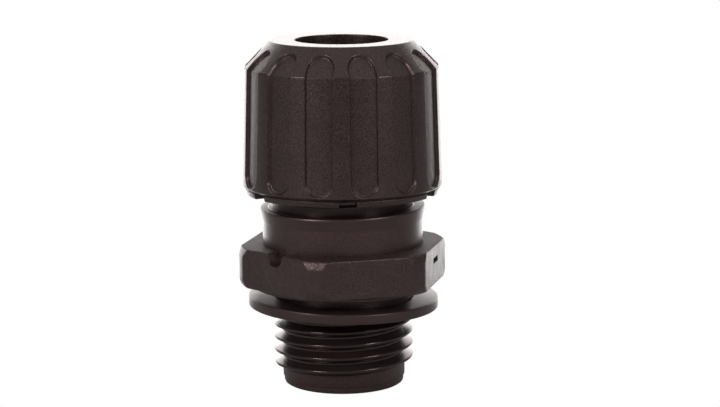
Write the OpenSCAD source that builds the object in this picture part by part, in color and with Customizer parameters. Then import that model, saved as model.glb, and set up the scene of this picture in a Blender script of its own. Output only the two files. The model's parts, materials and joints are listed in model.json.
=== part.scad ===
// M16 plastic cable gland: an entry body with a clamping cage, seals and a fluted cap nut.
// Millimetres. +Z is the way the cable leaves the cap nut.
// The origin is on the thread axis, in the lower face of the entry gasket (the panel seat).

/* [Entry thread] */
// crest radius of the entry thread (M16)
entry_r = 8; // [6:0.1:16]
// pitch of the entry thread
entry_pitch = 1.5; // [1:0.25:2]
// length of the stem below the panel seat
stem_len = 9.05; // [6:0.05:15]
// radius of the plain pilot at the end of the stem
pilot_r = 6.95; // [5:0.05:7]

/* [Hex body] */
// width across the flats of the hex
hex_af = 21.8; // [18:0.1:27]
// radius that the hex corners are turned down to
hex_corner_r = 12.1; // [11:0.1:14]
// height of the hex
hex_h = 4.49; // [3:0.01:8]
// height of the hex's lower face above the panel seat
hex_z = 2.85; // [1.5:0.05:4]
// angle of the front flat about the axis
hex_turn = 15.5; // [-30:0.5:30]
// radius of the plain cylinder above the hex
barrel_r = 9.2; // [8:0.1:11]
// height of the top ledge of the plain cylinder
barrel_top = 11.62; // [9:0.02:14]
// width of the moulded slot in the left flat and of the recess in the right flat
slot_w = 2.35; // [1:0.05:4]
// depth of the slot below the top of the hex
slot_d = 1.4; // [0.5:0.05:3]
// height of the recess
recess_h = 0.62; // [0.3:0.02:2]
// height of the middle of the recess
recess_z = 5.68; // [4:0.02:6.5]
// depth of the recess into the flat
recess_d = 0.8; // [0.2:0.05:1.5]
// radius of the cable way through the stem
bore_r = 5.3; // [3:0.1:5.5]

/* [Cap nut] */
// radius of the cable opening
open_r = 5.33; // [3:0.01:6]
// height of the top face
nut_top = 30.65; // [26:0.05:36]
// outer radius of the flat top face
nut_top_r = 8.15; // [7:0.05:10]
// height where the cone meets the wall
nut_cone_z = 27.61; // [24:0.01:32]
// radius where the cone meets the wall
nut_cone_r = 11.14; // [10:0.01:13]
// largest radius, at the foot of the wall
nut_wall_r = 11.58; // [10:0.01:13]
// height of the lower edge of the nut
nut_foot = 13.24; // [12:0.01:16]
// number of grip flutes
flutes = 14; // [6:1:24]
// width of a flute
flute_w = 3.14; // [1:0.02:5]
// depth of a flute
flute_d = 0.34; // [0.1:0.02:1]
// number of notches in the lower lip
notches = 6; // [0:1:12]

/* [Cap thread] */
// crest radius of the body's thread for the cap nut (M18)
cap_r = 9; // [8:0.1:11]
// pitch of the cap thread
cap_pitch = 1.5; // [1:0.25:2]

/* [Clamping cage] */
// number of hinged clamping fingers
fingers = 8; // [6:1:12]
// radius of the line that the fingers hinge on
hinge_r = 7.4; // [6:0.05:8]
// height of the line that the fingers hinge on
hinge_z = 19.2; // [17:0.05:22]

/* [Seals] */
// outer radius of the entry gasket
gasket_r = 10.92; // [9:0.02:13]
// thickness of the entry gasket
gasket_t = 1.15; // [0.8:0.05:3]
// outer radius of the ring that seals the cap nut's skirt
skirt_ring_r = 9.45; // [9:0.05:10]
// inner radius of the cable seal
seal_r = 5.05; // [3:0.05:6]

/* [Hidden] */

$fn = 96;
eps = 0.01;
moulded = [0.225, 0.205, 0.2];
moulded_glossy = [0.205, 0.19, 0.185];
rubber = [0.17, 0.16, 0.158];
elastomer = [0.12, 0.12, 0.125];
natural = [0.6, 0.58, 0.54];

hex_top = hex_z + hex_h;
collar_z = 2.42;
collar_r = 10.5;
neck_r = 7.9;
relief_r = 8.05;
spigot_top = 18.4;
seal_seat_z = 11.9;
seal_out_r = 6.55;
cage_seat_z = 16.5;
cage_out_r = 7.2;
cage_rim_r = 7.95;
ring_z0 = 10.75;
ring_groove_r = 8.6;
thread_steps = 36;
male_root = cap_r - 0.92;
skirt_r = 9.6;
skirt_top = 15.6;
female_top = 22.6;
female_minor = 8.25;
female_root = 9.1;
entry_root = entry_r - 0.96;
cap_z0 = 12.2;
cone_tan = 0.503;
cone_top = 29.3;

// One helical ridge from angle a0 to a1 (degrees) with its crest at height z0 at angle 0.
// It stands on the radius `root` and is sunk into it by `embed`. It fades over its first and
// last `fade` degrees. A crest inside the root makes an internal thread.
module ridge(root, crest, pitch, z0, a0, a1, root_w, crest_w, embed, fade) {
    n = ceil((a1 - a0) * thread_steps / 360);
    inward = crest < root;
    base_r = inward ? root + embed : root - embed;
    a = function(i) a0 + (a1 - a0) * i / n;
    k = function(i) max(0.06, min(1, (a(i) - a0) / fade, (a1 - a(i)) / fade));
    out = function(i) root + (crest - root) * k(i);
    z = function(i) z0 + pitch * a(i) / 360;
    pts = [for (i = [0 : n])
        each [
            [base_r * cos(a(i)), base_r * sin(a(i)), z(i) - root_w / 2],
            [out(i) * cos(a(i)), out(i) * sin(a(i)), z(i) - crest_w / 2],
            [out(i) * cos(a(i)), out(i) * sin(a(i)), z(i) + crest_w / 2],
            [base_r * cos(a(i)), base_r * sin(a(i)), z(i) + root_w / 2]
        ]];
    sides = [for (i = [0 : n - 1])
        for (j = [0 : 3])
            each [
                [4 * i + j, 4 * i + 4 + (j + 1) % 4, 4 * i + (j + 1) % 4],
                [4 * i + j, 4 * i + 4 + j, 4 * i + 4 + (j + 1) % 4]
            ]];
    ends = [[0, 1, 2], [0, 2, 3],
        [4 * n, 4 * n + 2, 4 * n + 1], [4 * n, 4 * n + 3, 4 * n + 2]];
    faces = concat(sides, ends);
    turned = [for (f = faces) [f[0], f[2], f[1]]];
    polyhedron(points = pts, faces = inward ? turned : faces);
}

// The hex with its corners turned round and its top edge turned to a cone.
module hex_block() {
    intersection() {
        rotate([0, 0, hex_turn])
            translate([0, 0, hex_z])
                cylinder(h = hex_h, r = hex_af / 2 / cos(30), $fn = 6);
        rotate_extrude()
            polygon([[0, hex_z], [hex_corner_r - 0.25, hex_z], [hex_corner_r, hex_z + 0.25],
                [hex_corner_r, hex_top - 0.95], [hex_corner_r - 0.3, hex_top - 0.12],
                [hex_corner_r - 0.45, hex_top], [0, hex_top]]);
    }
}

// A slot with a round bottom, cut radially into the top of one flat.
module flat_slot(turn) {
    low = hex_top - slot_d + slot_w / 2;
    rotate([0, 0, turn])
        translate([barrel_r + 0.02, 0, low])
            rotate([0, 90, 0])
                union() {
                    cylinder(h = 4, d = slot_w, $fn = 48);
                    translate([low - hex_top - 0.05, -slot_w / 2, 0])
                        cube([hex_top - low + 0.05, slot_w, 4]);
                }
}

// A short recess across the middle of one flat.
module flat_recess(turn) {
    rotate([0, 0, turn])
        translate([hex_af / 2 - recess_d, -slot_w / 2 + 0.3, recess_z - recess_h / 2])
            cube([3, slot_w, recess_h]);
}

module gland_body() {
    color(moulded)
    difference() {
        union() {
            hex_block();
            rotate_extrude()
                polygon([[0, -stem_len], [pilot_r - 0.35, -stem_len], [pilot_r - 0.06, -stem_len + 0.3],
                    [pilot_r - 0.05, -stem_len + 0.75], [pilot_r + 0.07, -stem_len + 0.85],
                    [entry_root, -stem_len + 2], [entry_root, 0.9], [neck_r, 1.45], [neck_r, collar_z - 0.3],
                    [collar_r - 0.4, collar_z], [collar_r, collar_z + 0.15], [collar_r, hex_z + 0.2],
                    [0, hex_z + 0.2]]);
            rotate_extrude()
                polygon([[0, hex_top - 1], [barrel_r + 0.05, hex_top - 1], [barrel_r, ring_z0],
                    [ring_groove_r, ring_z0], [ring_groove_r, barrel_top - 0.1],
                    [ring_groove_r - 0.1, barrel_top], [relief_r, barrel_top + 0.05],
                    [relief_r, 12.4], [male_root, 12.5], [male_root, spigot_top - 0.3],
                    [male_root - 0.2, spigot_top], [0, spigot_top]]);
        }
        translate([0, 0, -stem_len - 1])
            cylinder(h = stem_len + 1 + seal_seat_z, r = bore_r);
        translate([0, 0, -stem_len - eps])
            cylinder(h = 0.5, r1 = bore_r + 0.5, r2 = bore_r);
        translate([0, 0, seal_seat_z - eps])
            cylinder(h = 10, r = seal_out_r + 0.05);
        translate([0, 0, cage_seat_z])
            cylinder(h = 10, r = cage_out_r + 0.05);
        flat_slot(hex_turn - 150);
        flat_recess(hex_turn - 30);
    }
}

// The M16 thread on the stem.
module entry_thread() {
    color(moulded_glossy)
    ridge(entry_root, entry_r, entry_pitch, 0.19 - 6 * entry_pitch,
        460, 360 * 6 + 140, 1.44, 0.26, 0.04, 100);
}

// The M18 thread on the spigot, which the cap nut runs on.
module cap_thread() {
    color(moulded_glossy)
    ridge(male_root, cap_r, cap_pitch, cap_z0, 200, 360 * 3 + 210, 1.36, 0.24, 0.05, 60);
}

// The thread inside the cap nut, half a pitch away from the spigot's.
module nut_thread() {
    color(moulded_glossy)
    ridge(female_root, female_minor, cap_pitch, cap_z0 + cap_pitch / 2,
        805, 360 * 5 + 345, 1.24, 0.22, 0.05, 60);
}

module entry_gasket() {
    color(rubber)
    rotate_extrude()
        polygon([[entry_r + 0.08, 0], [gasket_r - 0.08, 0], [gasket_r, 0.08],
            [gasket_r, gasket_t - 0.08], [gasket_r - 0.08, gasket_t], [entry_r + 0.08, gasket_t]]);
}

module skirt_ring() {
    color(rubber)
    rotate_extrude()
        polygon([[ring_groove_r, ring_z0], [barrel_r, ring_z0], [skirt_ring_r - 0.08, ring_z0 + 0.34],
            [skirt_ring_r, ring_z0 + 0.6], [skirt_ring_r - 0.04, ring_z0 + 0.76],
            [skirt_ring_r - 0.2, ring_z0 + 0.85], [ring_groove_r, barrel_top - 0.12]]);
}

module cable_seal() {
    color(elastomer)
    rotate_extrude()
        polygon([[seal_r + 0.3, seal_seat_z], [seal_out_r, seal_seat_z], [seal_out_r, 19.6],
            [seal_out_r - 0.1, 20], [seal_r + 0.75, 24.2], [seal_r + 0.3, 24.4], [seal_r, 24],
            [seal_r, seal_seat_z + 0.4]]);
}

// The base ring that the fingers hinge on, with one round seat for each finger's knuckle.
module clamp_cage() {
    color(moulded)
    difference() {
        rotate_extrude()
            polygon([[seal_out_r + 0.1, cage_seat_z], [cage_out_r, cage_seat_z], [cage_out_r, spigot_top],
                [cage_rim_r, spigot_top], [cage_rim_r, hinge_z], [seal_out_r + 0.1, hinge_z]]);
        for (i = [0 : fingers - 1])
            rotate([0, 0, 360 / fingers * (i + 0.5)])
                translate([hinge_r, 0, hinge_z])
                    rotate([90, 0, 0])
                        cylinder(h = 4.8, r = 0.4, center = true, $fn = 24);
    }
}

// One clamping finger: a knuckle, and a blade that narrows and leans in towards its tip.
module finger(n) {
    tip_z = hinge_z + 7.6;
    color(moulded)
    rotate([0, 0, 360 / fingers * (n - 0.5)])
        union() {
            translate([hinge_r, 0, hinge_z])
                rotate([90, 0, 0])
                    cylinder(h = 4.4, r = 0.35, center = true, $fn = 24);
            intersection() {
                rotate_extrude()
                    polygon([[hinge_r - 0.4, hinge_z + 0.28], [hinge_r + 0.55, hinge_z + 0.28],
                        [hinge_r + 0.55, hinge_z + 1.5], [6.52, tip_z - 0.15], [6.4, tip_z],
                        [5.75, tip_z], [5.55, tip_z - 0.3], [5.75, tip_z - 0.8], [5.6, tip_z - 1.2],
                        [5.95, tip_z - 2], [6.75, hinge_z + 1.6], [hinge_r - 0.4, hinge_z + 1]]);
                translate([5, 0, hinge_z])
                    rotate([90, 0, 90])
                        linear_extrude(height = 4)
                            polygon([[-2.3, 0.2], [2.3, 0.2], [2.3, 1.5], [1.15, 8], [-1.15, 8],
                                [-2.3, 1.5]]);
            }
            translate([hinge_r - 0.15, -2.2, hinge_z])
                cube([0.3, 4.4, 0.4]);
        }
}

// The non-turning ring whose cone presses the fingers in as the nut comes down.
module slip_ring() {
    color(natural)
    rotate_extrude()
        polygon([[7.39, 25.3], [8.05, 25.3], [8.05, 26], [6.42, cone_top - 0.06],
            [5.4, cone_top - 0.06]]);
}

// The stadium outline of one grip flute, as a bar along +X.
module flute_bar() {
    low = 14.4;
    high = 29.86;
    translate([6, 0, 0])
        rotate([90, 0, 90])
            linear_extrude(height = 8)
                union() {
                    translate([0, low + flute_w / 2])
                        circle(d = flute_w, $fn = 48);
                    translate([0, high - flute_w / 2])
                        circle(d = flute_w, $fn = 48);
                    translate([-flute_w / 2, low + flute_w / 2])
                        square([flute_w, high - low - flute_w]);
                }
}

module cap_nut() {
    color(moulded)
    difference() {
        union() {
            difference() {
                rotate_extrude()
                    polygon([[0, nut_foot], [11.06, nut_foot], [11.22, nut_foot + 0.6],
                        [11.26, nut_foot + 0.68], [nut_wall_r - 0.04, nut_foot + 0.94],
                        [nut_wall_r, nut_foot + 1.04], [nut_cone_r + 0.02, nut_cone_z - 0.14],
                        [nut_cone_r - 0.12, nut_cone_z + 0.12], [nut_top_r + 0.13, nut_top - 0.16],
                        [nut_top_r - 0.12, nut_top], [0, nut_top]]);
                for (i = [0 : flutes - 1])
                    rotate([0, 0, 360 / flutes * (i + 0.5) - 90])
                        flute_bar();
            }
            rotate_extrude()
                polygon([[0, nut_foot + 0.5], [10.8, nut_foot + 0.5],
                    [nut_wall_r - flute_d, nut_foot + 1], [nut_cone_r - flute_d, nut_cone_z - 0.14],
                    [nut_cone_r - flute_d - 0.2, nut_cone_z + 0.02],
                    [nut_top_r - 0.35, nut_top - 0.16], [0, nut_top - 0.16]]);
        }
        for (i = [0 : notches - 1])
            rotate([0, 0, 360 / notches * i - 86.5])
                translate([9.7, -0.98, nut_foot - 1])
                    cube([2.6, 1.96, 1.66]);
        rotate_extrude()
            polygon([[0, nut_foot - 1], [skirt_r + 0.3, nut_foot - 1], [skirt_r + 0.3, nut_foot],
                [skirt_r, nut_foot + 0.3], [skirt_r, skirt_top - 0.5], [female_root, skirt_top],
                [female_root, female_top - 0.1], [female_minor, female_top], [female_minor, 26],
                [6.6, cone_top], [0, cone_top]]);
        translate([0, 0, nut_top - 3])
            cylinder(h = 4, r = open_r);
    }
}

gland_body();
entry_thread();
cap_thread();
entry_gasket();
skirt_ring();
cable_seal();
clamp_cage();
finger(1);  // finger_1
finger(2);  // finger_2
finger(3);  // finger_3
finger(4);  // finger_4
finger(5);  // finger_5
finger(6);  // finger_6
finger(7);  // finger_7
finger(8);  // finger_8
slip_ring();
cap_nut();
nut_thread();
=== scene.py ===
"""A plastic cable gland: detailed pieces, materials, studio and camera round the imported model.

Outlines are in millimetres, as (radius, height) pairs, and mesh_object turns them into metres.
The gland's axis is Z, and the camera looks along +Y.
"""
import json
import math

import bpy
import numpy as np
from mathutils import Matrix, Vector


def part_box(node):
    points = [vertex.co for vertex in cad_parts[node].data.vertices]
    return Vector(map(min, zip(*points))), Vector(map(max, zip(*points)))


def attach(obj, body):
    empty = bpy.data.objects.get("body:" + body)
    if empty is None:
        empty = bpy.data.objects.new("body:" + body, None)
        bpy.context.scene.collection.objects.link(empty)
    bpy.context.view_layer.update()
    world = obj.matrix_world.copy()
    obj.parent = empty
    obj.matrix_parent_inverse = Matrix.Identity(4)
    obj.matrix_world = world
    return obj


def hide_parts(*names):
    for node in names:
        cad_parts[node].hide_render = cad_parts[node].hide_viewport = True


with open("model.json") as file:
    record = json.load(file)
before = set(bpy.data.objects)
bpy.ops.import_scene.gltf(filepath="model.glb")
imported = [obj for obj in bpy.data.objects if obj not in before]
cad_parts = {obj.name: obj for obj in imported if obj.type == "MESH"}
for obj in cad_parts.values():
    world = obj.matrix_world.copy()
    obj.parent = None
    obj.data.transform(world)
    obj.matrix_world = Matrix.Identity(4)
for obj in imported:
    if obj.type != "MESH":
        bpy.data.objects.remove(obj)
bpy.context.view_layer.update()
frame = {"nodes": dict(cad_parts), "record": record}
scene = bpy.context.scene
scene.view_settings.view_transform = "Standard"

MM = 0.001
TAU = 2 * math.pi

# Sizes in millimetres, the same as the CAD's.
GASKET_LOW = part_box("entry_gasket")[0].z / MM
GASKET_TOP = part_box("entry_gasket")[1].z / MM
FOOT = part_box("cap_nut")[0].z / MM
NUT_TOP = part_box("cap_nut")[1].z / MM
STEM_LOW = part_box("gland_body")[0].z / MM
HEX_Z, HEX_TOP = 2.85, 7.34
HEX_IN, HEX_OUT = 10.9, 12.1
BORE_R, OPENING_R = 5.3, 5.33
BARREL_R, SPIGOT_R = 9.2, 8.05
RING_Z, LEDGE_Z = 10.75, 11.62
THREAD_ROOT, THREAD_CREST, PITCH = 7.04, 8.0, 1.5

# The turn of the hex about the axis, and of the two flats with a slot and a recess, in degrees.
HEX_TURN = 15.5
SLOT_TURN, RECESS_TURN = HEX_TURN - 150, HEX_TURN - 30


# ---------------------------------------------------------------- mesh helpers
def mesh_object(name, verts, faces, sharp):
    """A smooth-shaded object, with edges marked sharp where faces meet at more than sharp degrees."""
    mesh = bpy.data.meshes.new(name)
    mesh.from_pydata([tuple(v) for v in np.asarray(verts) * MM], [], faces)
    mesh.validate()
    obj = bpy.data.objects.new(name, mesh)
    scene.collection.objects.link(obj)
    mesh.shade_smooth()
    mesh.set_sharp_from_angle(angle=math.radians(sharp))
    return obj


def grid_object(name, points, sharp):
    """A solid ring: points[i, j] is outline point i at angle j, and both rows and columns close."""
    rows, cols, _ = points.shape
    a = np.arange(rows * cols).reshape(rows, cols)
    b = np.roll(a, -1, axis=0)
    quads = np.stack([a, np.roll(a, -1, axis=1), np.roll(b, -1, axis=1), b], axis=-1).reshape(-1, 4)
    return mesh_object(name, points.reshape(-1, 3), quads.tolist(), sharp)


def rounded(profile):
    """A closed (r, z, radius, steps) outline with its corners rounded; returns r and z arrays."""
    side_share = 0.48  # the most of a side that one rounded corner takes up
    out = []
    n = len(profile)
    for i in range(n):
        r, z, rad, steps = profile[i]
        p = np.array([r, z], float)
        if rad <= 0:
            out.append(p)
            continue
        a = np.array(profile[i - 1][:2], float) - p
        b = np.array(profile[(i + 1) % n][:2], float) - p
        la, lb = np.linalg.norm(a), np.linalg.norm(b)
        a, b = a / la, b / lb
        half = math.acos(max(-1, min(1, float(a @ b)))) / 2
        cut = min(rad / math.tan(half), la * side_share, lb * side_share)
        for k in range(steps + 1):
            t = k / steps
            q = (1 - t) ** 2 * (a * cut) + t**2 * (b * cut)
            out.append(p + q)
    out = np.array(out)
    return out[:, 0], out[:, 1]


def refine(r, z, step, closed=True):
    """Adds points to an outline: no stretch is longer than step, a number or a function of r and z."""
    rr, zz = [], []
    n = len(r)
    for i in range(n if closed else n - 1):
        j = (i + 1) % n
        length = math.hypot(r[j] - r[i], z[j] - z[i])
        s = step((r[i] + r[j]) / 2, (z[i] + z[j]) / 2) if callable(step) else step
        k = max(1, math.ceil(length / s - 1e-6))
        for m in range(k):
            rr.append(r[i] + (r[j] - r[i]) * m / k)
            zz.append(z[i] + (z[j] - z[i]) * m / k)
    if not closed:
        rr.append(r[-1])
        zz.append(z[-1])
    return np.array(rr), np.array(zz)


def smooth(x, lo, hi):
    """0 below lo, 1 above hi, and a soft step between."""
    t = np.clip((x - lo) / (hi - lo), 0, 1)
    return t * t * (3 - 2 * t)


def polar(r, z, theta):
    """Points round the axis, from radii, heights and angles that are broadcast together."""
    r, z, theta = np.broadcast_arrays(r, z, theta)
    return np.stack([r * np.cos(theta), r * np.sin(theta), z], axis=-1)


def revolve(name, profile, cols, step):
    """A solid ring from a closed outline, with cols angles and rows at most step apart."""
    r, z = refine(*rounded(profile), step)
    theta = np.arange(cols) * TAU / cols
    return grid_object(name, polar(r[:, None], z[:, None], theta[None, :]), sharp=38)


def wrap(angle):
    """The same angle between -pi and pi."""
    return (angle + math.pi) % TAU - math.pi


# ---------------------------------------------------------------- cap nut
FLUTES, FLUTE_HALF = 14, 1.57
FLUTE_LOW, FLUTE_HIGH = 14.4, 29.86
NOTCHES, NOTCH_FIRST, NOTCH_HALF = 6, math.radians(-86.5), math.radians(5.1)
NOTCH_HIGH = 0.65
LIP_R, LIP_IN = 11.2, 9.97
WALL_MEAN_R = 11.25


def flute_depth(inside):
    """Depth of a flute at a distance inside its outline: a rounded edge, a steep wall, a small fillet."""
    at = [-0.06, -0.03, 0.0, 0.025, 0.05, 0.085, 0.11, 0.14, 0.18]
    deep = [0.0, 0.005, 0.028, 0.075, 0.15, 0.262, 0.31, 0.333, 0.34]
    return np.interp(inside, at, deep)


def nut_columns(per, centres):
    """The nut's angles: closer together at the edges of the flutes and at the sides of the notches."""
    # Distances from a flute's middle: where its wall begins and ends, and the land beside it.
    wall_in, wall_out, land_in, land_out = 1.33, 1.66, 1.9, 2.5
    edge = np.concatenate([
        np.linspace(wall_in, wall_out, 14),
        np.linspace(wall_out, land_in, 3)[1:],
        np.linspace(land_in, land_out, 4)[1:-1],
    ])
    across = np.concatenate([-edge[::-1], np.linspace(-wall_in, wall_in, 46)[1:-1], edge])
    offsets = np.concatenate([[-per / 2], np.arcsin(across / WALL_MEAN_R)])
    flutes = [(i + 0.5) * per + offsets - math.pi / 2 for i in range(FLUTES)]
    sides = np.concatenate([centres - NOTCH_HALF, centres + NOTCH_HALF])
    beside = 0.0016
    theta = np.concatenate([*flutes, sides - beside, sides + beside]) % TAU
    return np.unique(np.round(theta, 5))


def cap_nut():
    # The wall has a point of its own where the rows change their spacing, so that a flute's
    # rounded ends get close rows and its straight sides get few.
    low_end, high_end, shoulder = 17.0, 26.9, 28.1
    mouth_r, bore_r, cone_r = 9.6, 9.1, 8.25
    face_r, flutes_from_r = 8.05, 8.3
    # From the opening's lower edge, over the top and down the wall to the lip.
    outer = [
        (OPENING_R, NUT_TOP - 1.3, 0, 1),
        (OPENING_R, NUT_TOP, 0.1, 4),
        (8.16, NUT_TOP, 0.22, 6),
        (11.14, 27.61, 0.3, 7),
        (11.163, high_end, 0, 1),
        (11.481, low_end, 0, 1),
        (11.58, FOOT + 1.02, 0.12, 5),
        (11.15, FOOT + 0.71, 0.04, 3),
    ]
    # Up the inside: the mouth, the threaded bore, and the cone that presses the slip ring.
    inner = [
        (9.95, FOOT, 0.08, 3),
        (mouth_r, FOOT + 0.3, 0.05, 2),
        (mouth_r, 15.35, 0, 1),
        (bore_r, 15.85, 0, 1),
        (bore_r, 22.5, 0, 1),
        (cone_r, 22.6, 0, 1),
        (cone_r, 26.0, 0, 1),
        (6.6, 29.3, 0, 1),
    ]
    # The two points between them stand in for the lip, whose rows are made further down.
    r_all, z_all = rounded(outer + [(LIP_R, FOOT, 0, 1), (LIP_IN, FOOT, 0, 1)] + inner)
    cut = int(np.argmin(np.hypot(r_all - LIP_R, z_all - FOOT)))

    def spacing(r, z):
        if r < face_r:
            return 0.5
        if z < low_end or z > shoulder:
            return 0.06
        return 0.2 if z > high_end else 0.7

    r_out, z_out = refine(r_all[:cut], z_all[:cut], spacing, closed=False)
    r_in, z_in = refine(r_all[cut + 2 :], z_all[cut + 2 :], 2.0, closed=False)
    per = TAU / FLUTES
    centres = NOTCH_FIRST + np.arange(NOTCHES) * TAU / NOTCHES
    theta = nut_columns(per, centres)

    # Outside, with the flutes pushed in along the outline's own normal.
    r = np.repeat(r_out[:, None], len(theta), 1)
    z = np.repeat(z_out[:, None], len(theta), 1)
    dr, dz = np.gradient(r_out), np.gradient(z_out)
    length = np.hypot(dr, dz)
    top_face = r_out < flutes_from_r
    push_r, push_z = np.where(top_face, 0, dz / length), np.where(top_face, 0, -dr / length)
    angle = theta[None, :] + math.pi / 2
    lateral = r * np.sin(wrap(angle - (np.floor(angle / per) + 0.5) * per))
    beyond_end = np.maximum(np.maximum(FLUTE_LOW + FLUTE_HALF - z, z - FLUTE_HIGH + FLUTE_HALF), 0)
    deep = flute_depth(FLUTE_HALF - np.hypot(lateral, beyond_end))
    deep = deep * (z_out[:, None] > FOOT + 1.0)
    outside = polar(r + push_r[:, None] * deep, z + push_z[:, None] * deep, theta[None, :])

    # Lip: a fine groove, the lip's rounded top edge, its side and its bottom; a notch goes through it.
    plain_r = np.array([11.13, 11.17, 11.215, 11.23, 11.21, 11.09, 11.06, 11.0, 10.7, LIP_IN])
    plain_z = FOOT + np.array([0.69, 0.672, 0.655, 0.62, 0.55, 0.07, 0.02, 0.0, 0.0, 0.0])
    notch_r = np.array([11.13, 11.17, 11.2, 11.18, 11.1, 10.8, 10.5, 10.3, 10.1, LIP_IN])
    notch_z = FOOT + np.array([0.69, 0.672, 0.66, 0.655] + [NOTCH_HIGH] * 6)
    from_notch = np.min(np.abs(wrap(theta[None, :] - centres[:, None])), axis=0)
    notched = (from_notch < NOTCH_HALF)[None, :]
    lip_r = np.where(notched, notch_r[:, None], plain_r[:, None])
    lip_z = np.where(notched, notch_z[:, None], plain_z[:, None])
    lip = polar(lip_r, lip_z, theta[None, :])

    z_in = z_in[:, None]
    z_in = np.where(notched, np.maximum(z_in, FOOT + NOTCH_HIGH), z_in)
    inside = polar(r_in[:, None], z_in, theta[None, :])
    points = np.concatenate([outside, lip, inside], axis=0)[::-1]
    return grid_object("cap_nut_shell", points, sharp=62)


# ---------------------------------------------------------------- gland body
SLOT_HALF, SLOT_STRAIGHT = 1.175, 0.225
RECESS_Z, RECESS_DEEP = 5.68, 0.8
SAME_SIDE = 0.9


def hex_radius(theta):
    """Distance from the axis to the hex's sharp outline."""
    side = wrap(theta - math.radians(HEX_TURN) + math.pi / 2)
    side = (side + math.pi / 6) % (math.pi / 3) - math.pi / 6
    return HEX_IN / np.cos(side)


def soft_min(a, b, k):
    """The smaller of two numbers, with the change from one to the other rounded over k."""
    h = np.clip(0.5 + 0.5 * (b - a) / k, 0, 1)
    return b * (1 - h) + a * h - k * h * (1 - h)


def slot_depth(r, theta):
    """How far the round-bottomed slot goes below the top of the hex."""
    off = wrap(theta - math.radians(SLOT_TURN))
    lateral = np.abs(r * np.sin(off))
    floor_depth = SLOT_STRAIGHT + np.sqrt(np.clip(SLOT_HALF**2 - lateral**2, 0, None))
    within = 1 - smooth(lateral, SLOT_HALF - 0.03, SLOT_HALF + 0.05)
    return np.where(np.cos(off) > SAME_SIDE, floor_depth * within, 0 * lateral)


def gland_body():
    cols = 960
    theta = (np.arange(cols) * TAU / cols)[None, :]
    # Each block is a pair of grids, radius and height: a row for an outline point, a column for an angle.
    blocks = []

    def turned(profile, step):
        r, z = np.array(profile, float).T
        r, z = refine(r, z, step, closed=False)
        blocks.append((r[:, None] + 0 * theta, z[:, None] + 0 * theta))

    # Down the bore from the seal's seat, round the foot of the stem and up to the hex.
    turned([(7.25, 18.4), (7.25, 16.5), (6.6, 16.5), (6.6, 11.9), (BORE_R, 11.9)], 1.5)
    foot = [
        (5.8, 0.0), (6.56, 0.0), (6.68, 0.03), (6.83, 0.13), (6.88, 0.26), (6.9, 0.42), (6.9, 0.74),
        (6.94, 0.79), (7.0, 0.83), (7.03, 0.9), (THREAD_ROOT, 2.0),
    ]
    foot = [(r, STEM_LOW + up) for r, up in foot]
    turned([(BORE_R, 11.8), (BORE_R, STEM_LOW + 0.5)] + foot, 1.5)
    turned([
        (THREAD_ROOT, STEM_LOW + 2.05), (THREAD_ROOT, -0.3), (7.9, 0.2), (7.9, 2.34), (8.02, 2.42),
        (10.1, 2.43), (10.42, 2.46), (10.5, 2.52), (10.5, 2.74), (10.44, 2.82), (10.4, HEX_Z),
    ], 1.5)

    # The six flats, up to the height where the slot begins to bend the rows.
    face = hex_radius(theta)
    level = HEX_TOP - 1.3
    lower_edge = HEX_Z + np.array([0.0, 0.03, 0.09, 0.18])
    rows_z = np.concatenate([lower_edge, np.linspace(HEX_Z + 0.25, 5.25, 10), np.linspace(5.3, level, 30)])
    corner = np.interp(rows_z, [HEX_Z, HEX_Z + 0.09, HEX_Z + 0.7, level],
                       [HEX_OUT - 0.36, HEX_OUT - 0.26, HEX_OUT, HEX_OUT])
    inset = np.interp(rows_z, lower_edge, [0.1, 0.05, 0.015, 0.0])
    r = soft_min(face - inset[:, None], corner[:, None] + 0 * theta, 0.12)
    z = rows_z[:, None] + 0 * theta
    off = wrap(theta - math.radians(RECESS_TURN))
    recess = 1 - smooth(np.abs(r * np.sin(off)), 1.02, 1.1)
    recess = recess * (1 - smooth(np.abs(z - RECESS_Z), 0.27, 0.33)) * (np.cos(off) > SAME_SIDE)
    blocks.append((r - RECESS_DEEP * recess, z))

    # The top of the flats, whose rows follow the slot, and the rounded edge.
    u = np.concatenate([np.linspace(0, 0.8, 22)[1:], np.linspace(0.8, 1, 16)[1:]])
    edge_z = HEX_TOP - slot_depth(HEX_IN, theta)
    z = level + (edge_z - level) * u[:, None]
    drop = HEX_TOP - z
    corner = np.interp(drop, [0, 0.04, 0.1, 0.2, 0.5, 0.8, 0.95, 1.1],
                       [11.55, 11.67, 11.76, 11.83, 11.95, 12.05, 12.09, HEX_OUT])
    inset = np.interp(drop, [0, 0.03, 0.08, 0.15, 0.22], [0.2, 0.12, 0.05, 0.012, 0])
    r = soft_min(face - inset, corner, 0.05)
    z = np.minimum(z, HEX_TOP - slot_depth(r, theta))
    blocks.append((r, z))

    # The hex's top face, from that edge in to the cylinder.
    rim = r[-1][None, :]
    v = np.concatenate([[0.03, 0.08], np.linspace(0.14, 1, 16)])[:, None]
    r = rim + (BARREL_R - rim) * v
    z = HEX_TOP - slot_depth(r, theta)
    blocks.append((r, np.where(v < 0.05, z - 0.02, z)))

    # Plain cylinder, the ring's groove, the ledge, the spigot.
    blocks.append((np.full((1, cols), BARREL_R), HEX_TOP + 0.04 + 0 * theta))
    turned([
        (BARREL_R, HEX_TOP + 0.3), (BARREL_R, RING_Z - 0.04), (BARREL_R - 0.04, RING_Z), (8.6, RING_Z),
        (8.6, LEDGE_Z - 0.1), (8.5, LEDGE_Z), (SPIGOT_R, LEDGE_Z + 0.05), (SPIGOT_R, 12.4), (8.08, 12.5),
        (8.08, 18.1), (7.88, 18.4),
    ], 1.2)
    r = np.concatenate([block[0] for block in blocks])
    z = np.concatenate([block[1] for block in blocks])
    return grid_object("gland_body_shell", polar(r, z, theta), sharp=32)


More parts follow.
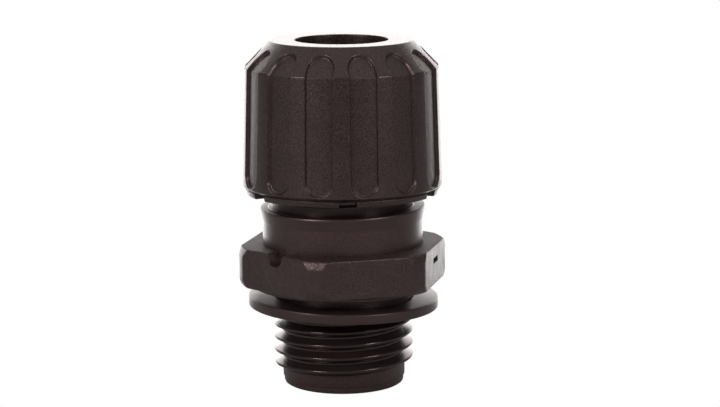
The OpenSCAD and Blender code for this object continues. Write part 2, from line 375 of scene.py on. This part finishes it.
# ---------------------------------------------------------------- entry thread
def entry_thread():
    """A helical ridge with its feet sunk into the stem; its height fades out at both ends."""
    start_z = 0.19 - 6 * PITCH
    first, last = math.radians(460), math.radians(360 * 6 + 140)
    fade = math.radians(100)
    # Section: (height from the ridge's middle, share of the ridge's height).
    side = [(0.1, 0.99), (0.15, 0.95), (0.19, 0.86), (0.6, 0.05), (0.66, 0.0), (0.72, 0.0)]
    section = np.array([(-z, share) for z, share in side[::-1]] + [(0.0, 1.0)] + side)
    steps, across = 1100, len(section)
    turn = np.linspace(first, last, steps)
    rise = np.minimum(1, np.minimum(turn - first, last - turn) / fade)
    rise = np.clip(rise, 0.02, 1) ** 0.7
    r = THREAD_ROOT + (THREAD_CREST - THREAD_ROOT) * section[None, :, 1] * rise[:, None]
    r[:, 0] = r[:, -1] = THREAD_ROOT - 0.08
    z = (start_z + PITCH * turn / TAU)[:, None] + section[None, :, 0]
    ids = np.arange(steps * across).reshape(steps, across)
    a, b = ids[:-1], ids[1:]
    quads = np.stack([a, b, np.roll(b, -1, 1), np.roll(a, -1, 1)], -1).reshape(-1, 4).tolist()
    caps = [ids[0].tolist(), ids[-1][::-1].tolist()]
    points = polar(r, z, turn[:, None]).reshape(-1, 3)
    return mesh_object("entry_thread_ridge", points, quads + caps, sharp=60)


nut = cap_nut()
body = gland_body()
thread = entry_thread()

gasket = revolve("entry_gasket_ring", [
    (8.08, GASKET_LOW, 0.1, 3), (10.92, GASKET_LOW, 0.16, 4),
    (10.92, GASKET_TOP, 0.16, 4), (8.08, GASKET_TOP, 0.1, 3),
], cols=256, step=0.6)
ring = revolve("skirt_ring_bead", [
    (8.3, 10.5, 0, 1), (9.15, 9.9, 0, 1), (9.23, 10.35, 1.5, 6), (9.33, 10.9, 1.5, 6),
    (9.46, 11.42, 0.35, 8), (9.38, 11.62, 0.07, 4), (8.3, 11.6, 0, 1),
], cols=256, step=0.4)
# The seal's outline, up the outside and down the inside past two grooves. Every corner has the same
# small radius, apart from the shoulder.
SEAL_OUTLINE = [
    (5.35, 11.9), (6.55, 11.9), (6.55, 19.7), (5.8, 24.2), (5.35, 24.4), (5.05, 24.0), (5.05, 22.6),
    (5.3, 22.3), (5.3, 21.4), (5.05, 21.1), (5.05, 19.4), (5.3, 19.1), (5.3, 18.2), (5.05, 17.9),
    (5.05, 12.3),
]
SEAL_SHOULDER = (6.55, 19.7)
seal = revolve("cable_seal_sleeve", [
    (*point, 0.3, 3) if point == SEAL_SHOULDER else (*point, 0.1, 2) for point in SEAL_OUTLINE
], cols=160, step=1.0)

# Each piece, the body it rides on, the nodes it stands for and its material slot.
PIECES = [
    (nut, "cap_nut", ("cap_nut",), "moulded_polyamide"),
    (body, "body", ("gland_body",), "body_polyamide"),
    (thread, "body", ("entry_thread",), "thread_polyamide"),
    (gasket, "gasket", ("entry_gasket",), "gasket_rubber"),
    (ring, "body", ("skirt_ring",), "gasket_rubber"),
    (seal, "body", ("cable_seal",), "seal_elastomer"),
]


def tilt(piece, height, degrees):
    """Turns a piece's mesh about the Y direction, through the axis at a height in metres."""
    there = Matrix.Translation((0, 0, height))
    back = Matrix.Translation((0, 0, -height))
    piece.data.transform(there @ Matrix.Rotation(math.radians(degrees), 4, "Y") @ back)


# The gasket hangs a little askew on the stem, and so does the ring on the cylinder.
tilt(gasket, 0.0006, 1.2)
tilt(ring, 0.0112, -0.85)


# ---------------------------------------------------------------- shader helpers
def feed(tree, socket, source):
    """Links another node's output to a socket, or sets the socket to a number or colour."""
    if isinstance(source, bpy.types.NodeSocket):
        tree.links.new(source, socket)
    else:
        socket.default_value = source


def add(tree, kind, **sockets):
    """A new shader node with its sockets fed; a name's underscores stand for spaces."""
    node = tree.nodes.new("ShaderNode" + kind)
    for name, source in sockets.items():
        feed(tree, node.inputs[name.replace("_", " ")], source)
    return node


def calc(tree, operation, *sources):
    """The output of a Math node."""
    node = tree.nodes.new("ShaderNodeMath")
    node.operation = operation
    for socket, source in zip(node.inputs, sources):
        feed(tree, socket, source)
    return node.outputs[0]


# ---------------------------------------------------------------- materials
GRAIN_SCALE, MOTTLE_SCALE, GLINT_SCALE = 6500, 260, 900
NOISE_LOW, NOISE_HIGH = 0.3, 0.7
GRIT_LOW, GRIT_HIGH = 0.36, 0.66
# The light specks are painted glints, standing in for the sparkle of the grain.
GLINT_SIZE, GLINT_COLOR = 0.09, (0.75, 0.73, 0.7, 1)
GLOSS_TINT = (1, 0.76, 0.75, 1)


def plastic(name, color, rough, grain, spec=0.5, mottle=0.12, painted_glints=0.0, wave=0.0, sand=0.0):
    """A moulded plastic or rubber.

    grain and wave are bump heights in millimetres, from the fine noise and the wide one. mottle is how
    far the colour varies with the wide noise and sand with the fine one, and painted_glints is the share
    of cells that have a light speck, a painted glint that stands in for the grain's sparkle.
    """
    mat = bpy.data.materials.new(name)
    mat.use_nodes = True
    tree = mat.node_tree
    bsdf = tree.nodes["Principled BSDF"]
    bsdf.inputs["Specular IOR Level"].default_value = spec
    bsdf.inputs["IOR"].default_value = 1.5
    bsdf.inputs["Specular Tint"].default_value = GLOSS_TINT
    place = add(tree, "TexCoord").outputs["Object"]
    wide = add(tree, "TexNoise", Vector=place, Scale=MOTTLE_SCALE, Detail=4).outputs["Fac"]
    fine = add(tree, "TexNoise", Vector=place, Scale=GRAIN_SCALE, Detail=2).outputs["Fac"]

    ramp = add(tree, "ValToRGB", Fac=wide)
    dark, light = ramp.color_ramp.elements
    dark.position, light.position = NOISE_LOW, NOISE_HIGH
    dark.color = (*(c * (1 - mottle) for c in color), 1)
    light.color = (*(c * (1 + mottle) for c in color), 1)
    paint = ramp.outputs["Color"]
    if sand:
        grit = add(tree, "MapRange", Value=fine, From_Min=GRIT_LOW, From_Max=GRIT_HIGH,
                   To_Min=1 - sand, To_Max=1 + 1.6 * sand)
        times = tree.nodes.new("ShaderNodeVectorMath")
        times.operation = "SCALE"
        feed(tree, times.inputs[0], paint)
        feed(tree, times.inputs["Scale"], grit.outputs["Result"])
        paint = times.outputs["Vector"]
    # Painted glints: a few cells get a light speck in place of the grain's sparkle.
    if painted_glints:
        cells = add(tree, "TexVoronoi", Vector=place, Scale=GLINT_SCALE, Randomness=1)
        chance = add(tree, "SeparateColor", Color=cells.outputs["Color"]).outputs["Red"]
        chosen = calc(tree, "GREATER_THAN", chance, 1 - painted_glints)
        near = calc(tree, "LESS_THAN", cells.outputs["Distance"], GLINT_SIZE)
        mix = tree.nodes.new("ShaderNodeMix")
        mix.data_type = "RGBA"
        color_a, color_b, color_out = mix.inputs[6], mix.inputs[7], mix.outputs[2]
        feed(tree, mix.inputs["Factor"], calc(tree, "MULTIPLY", chosen, near))
        feed(tree, color_a, paint)
        feed(tree, color_b, GLINT_COLOR)
        paint = color_out
    feed(tree, bsdf.inputs["Base Color"], paint)

    satin = add(tree, "MapRange", Value=fine, From_Min=NOISE_LOW, From_Max=NOISE_HIGH,
                To_Min=rough * 0.9, To_Max=min(1, rough * 1.1))
    feed(tree, bsdf.inputs["Roughness"], satin.outputs["Result"])
    bump = add(tree, "Bump", Height=fine, Strength=1, Distance=grain * MM)
    if wave:
        bump = add(tree, "Bump", Height=wide, Distance=wave * MM, Normal=bump.outputs["Normal"])
    feed(tree, bsdf.inputs["Normal"], bump.outputs["Normal"])
    return mat


WARM = (0.019, 0.0118, 0.0115)
NUT = (0.0125, 0.0081, 0.0079)
HEX_TONE = (0.0165, 0.0104, 0.0102)
# Painted shade: the spigot's colour is darker than the barrel's, for the shade under the nut's lip.
SPIGOT_SHADE_TONE = (0.014, 0.0095, 0.0092)
STEM = (0.012, 0.008, 0.0078)
GASKET = (0.018, 0.0115, 0.011)
SEAL = (0.012, 0.012, 0.013)
SLIP_RING = (0.03, 0.024, 0.023)
MATS = {
    "hex_polyamide": plastic(
        "hex_polyamide_eroded", HEX_TONE, 0.34, grain=0.05, wave=0.3, sand=0.5, painted_glints=0.006),
    "hex_top_polyamide": plastic(
        "hex_top_polyamide_eroded", WARM, 0.62, grain=0.06, wave=0.09, sand=0.5, spec=0.22),
    # Painted shade: the spigot under the nut's lip gets this darker material in place of the shade there.
    "painted_shade_polyamide": plastic("spigot_painted_shade", SPIGOT_SHADE_TONE, 0.3, grain=0.004, spec=0.4),
    "moulded_polyamide": plastic(
        "moulded_polyamide_eroded", NUT, 0.31, grain=0.03, painted_glints=0.008, mottle=0.2, sand=0.8),
    "body_polyamide": plastic(
        "body_polyamide_satin", WARM, 0.34, grain=0.02, painted_glints=0.004, wave=0.03, sand=0.4),
    "thread_polyamide": plastic("thread_polyamide_gloss", STEM, 0.24, grain=0.003, wave=0.02),
    "gasket_rubber": plastic("gasket_rubber_satin", GASKET, 0.38, grain=0.004, wave=0.02),
    "seal_elastomer": plastic("seal_elastomer_black", SEAL, 0.5, grain=0.004),
    "slip_ring_acetal": plastic("slip_ring_acetal_dark", SLIP_RING, 0.35, grain=0.003),
}

for obj, rides, stands_for, slot in PIECES:
    obj.data.materials.clear()
    obj.data.materials.append(MATS[slot])
    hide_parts(*stands_for)
    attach(obj, rides)

# The spigot above the ring is coloured darker as a painted shade under the nut, and the hex is eroded more
# than the barrel.
SPIGOT_SHADE_INDEX, HEX_INDEX, HEX_TOP_INDEX = 1, 2, 3
FACING_UP = 0.8
for extra in ("painted_shade_polyamide", "hex_polyamide", "hex_top_polyamide"):
    body.data.materials.append(MATS[extra])
for face in body.data.polygons:
    away = math.hypot(face.center.x, face.center.y) / MM
    high = face.center.z / MM
    if high > LEDGE_Z - 0.2 and away > SPIGOT_R - 0.25:
        face.material_index = SPIGOT_SHADE_INDEX
    elif away > BARREL_R + 0.02 and HEX_Z < high < HEX_TOP + 0.01:
        face.material_index = HEX_TOP_INDEX if face.normal.z > FACING_UP else HEX_INDEX

slots = {s["node"]: s["material_slot"] for s in frame["record"]["subparts"]}
for name, obj in frame["nodes"].items():
    obj.data.materials.clear()
    obj.data.materials.append(MATS[slots[name]])


# ---------------------------------------------------------------- floor and room
def band(tree, value, low, high, amount, fade="LINEAR"):
    """Light that grows from nothing at low to amount at high, along one direction."""
    node = add(tree, "MapRange", Value=value, From_Min=low, From_Max=high, To_Max=amount)
    node.interpolation_type = fade
    return node.outputs["Result"]


def white_to_camera(tree, shader, white, surface):
    """Plain white for the camera's own rays, and the shader's light for everything else."""
    pick = add(tree, "MixShader", Fac=add(tree, "LightPath").outputs["Is Camera Ray"])
    feed(tree, pick.inputs[1], shader)
    feed(tree, pick.inputs[2], white)
    feed(tree, surface, pick.outputs["Shader"])


# The floor gives light back: in a wedge behind the gland, and in a band in front of it.
FLOOR_BACK, FLOOR_FRONT = 3.6, 0.24
FLOOR_SIZE, FLOOR_GAP, WEDGE_SLOPE = 3.0, 0.00002, -0.8

bpy.ops.mesh.primitive_plane_add(size=FLOOR_SIZE, location=(0, 0, STEM_LOW * MM - FLOOR_GAP))
floor = bpy.context.object
floor.name = "studio_floor"
fm = bpy.data.materials.new("studio_white")
fm.use_nodes = True
tree = fm.node_tree
place = add(tree, "TexCoord").outputs["Object"]
across, along, _ = add(tree, "SeparateXYZ", Vector=place).outputs
wedge = calc(tree, "MULTIPLY_ADD", calc(tree, "ABSOLUTE", across), WEDGE_SLOPE, along)
behind = band(tree, wedge, 0.0, 0.042, FLOOR_BACK)
before = band(tree, along, -0.035, -0.08, FLOOR_FRONT)
beyond = band(tree, along, -0.11, -0.24, -FLOOR_FRONT)
paper = tree.nodes["Principled BSDF"]
paper.inputs["Base Color"].default_value = (0.42, 0.42, 0.42, 1)
paper.inputs["Roughness"].default_value = 1
paper.inputs["Specular IOR Level"].default_value = 0
paper.inputs["Emission Color"].default_value = (1, 1, 1, 1)
glow = calc(tree, "ADD", calc(tree, "ADD", behind, before), beyond)
feed(tree, paper.inputs["Emission Strength"], glow)
white = add(tree, "Emission").outputs["Emission"]
white_to_camera(tree, paper.outputs["BSDF"], white, tree.nodes["Material Output"].inputs["Surface"])
floor.data.materials.append(fm)

# The room is dim, with a brighter ceiling and a bright wall behind the gland.
ROOM_LIGHT, TOP_LIGHT, BACK_LIGHT = 0.19, 0.6, 3.2

world = bpy.data.worlds.new("studio")
scene.world = world
world.use_nodes = True
tree = world.node_tree
way = add(tree, "TexCoord").outputs["Generated"]
_, along, up = add(tree, "SeparateXYZ", Vector=way).outputs
wall = band(tree, along, 0.62, 0.92, BACK_LIGHT, "SMOOTHSTEP")
ceiling = band(tree, up, 0.45, 0.95, TOP_LIGHT, "SMOOTHSTEP")
room = tree.nodes["Background"]
room.inputs["Color"].default_value = (1, 0.97, 0.955, 1)
everywhere = band(tree, up, -2.0, -1.5, ROOM_LIGHT, "SMOOTHSTEP")
feed(tree, room.inputs["Strength"], calc(tree, "ADD", calc(tree, "ADD", wall, ceiling), everywhere))
sky = add(tree, "Background", Color=(1, 1, 1, 1)).outputs["Background"]
white_to_camera(tree, room.outputs["Background"], sky, tree.nodes["World Output"].inputs["Surface"])


# ---------------------------------------------------------------- lights and camera
LIGHTS_AIM = Vector((0, 0, 12 * MM))


def softbox(name, azimuth, height, far, size, radiance):
    """A rectangular light at an azimuth (0 is the camera's side, positive to the right) and height.

    Both are in degrees; far and size are in metres.
    """
    az, el = math.radians(azimuth), math.radians(height)
    light = bpy.data.lights.new(name, "AREA")
    light.shape = "RECTANGLE"
    light.size, light.size_y = size
    light.energy = radiance * math.pi * size[0] * size[1]
    light.color = (1, 0.97, 0.95)
    obj = bpy.data.objects.new(name, light)
    way = Vector((math.sin(az) * math.cos(el), -math.cos(az) * math.cos(el), math.sin(el)))
    obj.location = LIGHTS_AIM + way * far
    obj.rotation_euler = (-way).to_track_quat("-Z", "Y").to_euler()
    obj.visible_camera = False
    scene.collection.objects.link(obj)


softbox("softbox_left", azimuth=-46, height=27, far=0.40, size=(0.09, 0.12), radiance=27.0)
softbox("softbox_right", azimuth=48, height=26, far=0.40, size=(0.085, 0.11), radiance=22.0)

CAMERA_AT = Vector((1.983, -250.6, 57.92)) * MM
CAMERA_PITCH, CAMERA_ROLL = math.radians(10.445), math.radians(0.388)

cam_data = bpy.data.cameras.new("camera")
cam_data.lens = 111.05
cam_data.sensor_width = 36
cam_data.clip_start = 0.01
cam = bpy.data.objects.new("camera", cam_data)
ahead = Vector((0, math.cos(CAMERA_PITCH), -math.sin(CAMERA_PITCH)))
level_right = Vector((1, 0, 0))
level_up = Vector((0, math.sin(CAMERA_PITCH), math.cos(CAMERA_PITCH)))
right = level_right * math.cos(CAMERA_ROLL) - level_up * math.sin(CAMERA_ROLL)
up = level_up * math.cos(CAMERA_ROLL) + level_right * math.sin(CAMERA_ROLL)
placed = Matrix((right, up, -ahead)).transposed().to_4x4()
placed.translation = CAMERA_AT
cam.matrix_world = placed
scene.collection.objects.link(cam)
scene.camera = cam
